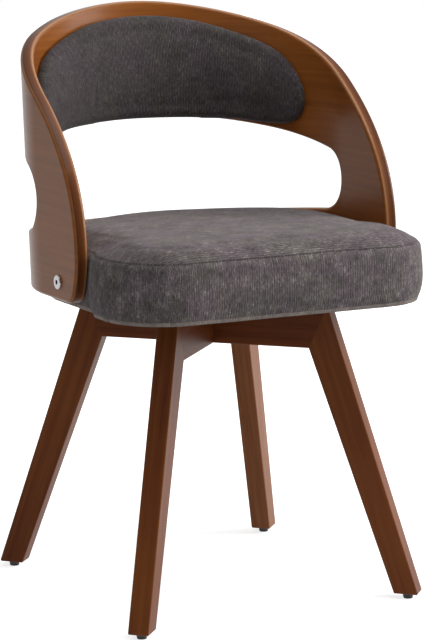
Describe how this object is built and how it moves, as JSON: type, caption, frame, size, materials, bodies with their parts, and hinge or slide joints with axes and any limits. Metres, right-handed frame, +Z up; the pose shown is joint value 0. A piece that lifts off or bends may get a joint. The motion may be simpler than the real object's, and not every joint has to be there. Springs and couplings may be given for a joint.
{
  "type": "swivel dining chair",
  "caption": "Swivel dining chair: bent plywood tub backrest with window, upholstered seat and back pad, crossed splayed wooden legs.",
  "frame": {"origin": "on the floor, under the middle of the chair's outline", "axes": "+Z up, the chair faces -Y, +X to the sitter's left"},
  "size_m": [0.488, 0.4703, 0.7851],
  "materials": {
    "leg_wood": "dark walnut stain, satin lacquer",
    "shell_wood": "walnut veneer, satin lacquer",
    "plain_wood": "plain plywood, unfinished",
    "seat_fabric": "mottled dark grey chenille",
    "lining": "black non-woven lining",
    "glide_plastic": "black",
    "cage_plastic": "natural",
    "bolt_chrome": "polished",
    "swivel_steel": "black",
    "steel": "zinc plated",
    "brass": "plain"
  },
  "bodies": {
    "base": {"cross_rail_upper": "leg_wood", "cross_rail_lower": "leg_wood", "leg_front_left": "leg_wood", "leg_front_right": "leg_wood", "leg_rear_left": "leg_wood", "leg_rear_right": "leg_wood", "mitre_dowels": "plain_wood", "glides": "glide_plastic", "glide_nails": "steel", "swivel_base_plate": "swivel_steel", "swivel_rivet": "steel", "swivel_base_screws": "steel"},
    "bearing": {"ball_cage": "cage_plastic", "swivel_balls": "steel"},
    "seat": {"swivel_seat_plate": "swivel_steel", "swivel_seat_screws": "steel", "seat_board": "plain_wood", "seat_frame": "plain_wood", "seat_cushion": "seat_fabric", "dust_cover": "lining", "cover_staples": "steel", "backrest_shell": "shell_wood", "back_pad_board": "plain_wood", "back_pad": "seat_fabric", "pad_clips": "cage_plastic", "shell_bolts": "bolt_chrome", "bolt_inserts": "brass"}
  },
  "joints": [
    {"name": "seat_swivel", "type": "hinge", "parent": "base", "child": "seat", "pos_m": [0, 0.007, 0.402], "axis": [0, 0, 1], "continuous": true},
    {"name": "bearing_turn", "type": "hinge", "parent": "base", "child": "bearing", "pos_m": [0, 0.007, 0.402], "axis": [0, 0, 1], "continuous": true}
  ],
  "couplings": [
    {"joint": "bearing_turn", "follows": "seat_swivel", "ratio": 0.5}
  ]
}
